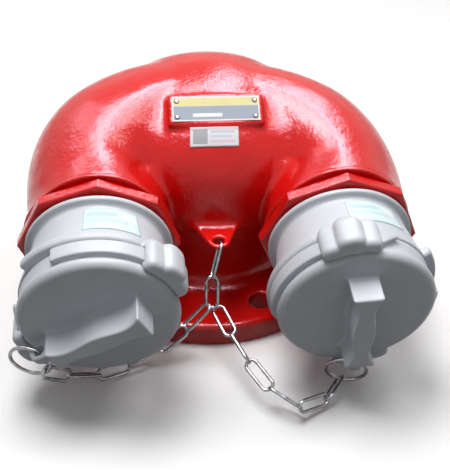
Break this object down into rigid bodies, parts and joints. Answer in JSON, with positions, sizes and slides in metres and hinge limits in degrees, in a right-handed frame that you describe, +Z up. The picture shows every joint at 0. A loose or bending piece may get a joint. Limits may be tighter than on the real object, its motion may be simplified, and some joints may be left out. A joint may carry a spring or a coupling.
{
  "type": "two-way fire department connection",
  "caption": "Red cast two-way fire department connection with twin front inlets, light metal claw couplings, chained blank caps and a round bolting flange.",
  "frame": {"origin": "centre of the bolting flange's flat underside", "axes": "+Z up along the trunk, -Y towards the front where the inlets face, +X to the right as seen from the front"},
  "size_m": [0.2826, 0.2981, 0.1658],
  "materials": {
    "red_casting": "thick glossy red paint over a cast surface",
    "light_alloy": "pale grey, fine satin cast and turned metal",
    "bright_steel": "bright zinc-plated steel",
    "plate_metal": "thin printed metal plate",
    "clapper_metal": "plain cast bronze",
    "black_rubber": "matte black moulded rubber"
  },
  "bodies": {
    "root": {"body": "red_casting", "name_plate": "plate_metal", "plate_rivets": "bright_steel", "left_coupling": "light_alloy", "left_thread_gasket": "black_rubber", "left_coupling_seal": "black_rubber", "left_hinge_pin": "bright_steel", "right_coupling": "light_alloy", "right_thread_gasket": "black_rubber", "right_coupling_seal": "black_rubber", "right_hinge_pin": "bright_steel", "chain_link_middle_1": "bright_steel", "chain_link_middle_2": "bright_steel", "chain_link_left_1": "bright_steel", "chain_link_left_2": "bright_steel", "chain_link_left_3": "bright_steel", "chain_link_left_4": "bright_steel", "chain_link_left_5": "bright_steel", "chain_link_left_6": "bright_steel", "chain_link_right_1": "bright_steel", "chain_link_right_2": "bright_steel", "chain_link_right_3": "bright_steel", "chain_link_right_4": "bright_steel", "chain_link_right_5": "bright_steel", "chain_link_right_6": "bright_steel"},
    "left_cap": {"left_cap": "light_alloy", "left_cap_seal": "black_rubber", "left_cap_ring": "bright_steel"},
    "left_clapper": {"left_clapper": "clapper_metal", "left_clapper_facing": "black_rubber"},
    "right_cap": {"right_cap": "light_alloy", "right_cap_seal": "black_rubber", "right_cap_ring": "bright_steel"},
    "right_clapper": {"right_clapper": "clapper_metal", "right_clapper_facing": "black_rubber"}
  },
  "joints": [
    {"name": "left_cap_turn", "type": "hinge", "parent": "root", "child": "left_cap", "pos_m": [-0.082, -0.098, 0.086], "axis": [-0.0262, -0.9899, -0.1391], "range_deg": [0, 60], "deforming": ["chain_link_left_1", "chain_link_left_2", "chain_link_left_3", "chain_link_left_4", "chain_link_left_5", "chain_link_left_6"]},
    {"name": "left_clapper_swing", "type": "hinge", "parent": "root", "child": "left_clapper", "pos_m": [-0.08102, -0.06629, 0.12832], "axis": [0.9997, -0.0259, -0.0036], "range_deg": [0, 45]},
    {"name": "right_cap_turn", "type": "hinge", "parent": "root", "child": "right_cap", "pos_m": [0.082, -0.098, 0.086], "axis": [0.0262, -0.9899, -0.1391], "range_deg": [0, 60], "deforming": ["chain_link_right_1", "chain_link_right_2", "chain_link_right_3", "chain_link_right_4", "chain_link_right_5", "chain_link_right_6"]},
    {"name": "right_clapper_swing", "type": "hinge", "parent": "root", "child": "right_clapper", "pos_m": [0.08102, -0.06629, 0.12832], "axis": [0.9997, 0.0259, 0.0036], "range_deg": [0, 45]}
  ]
}
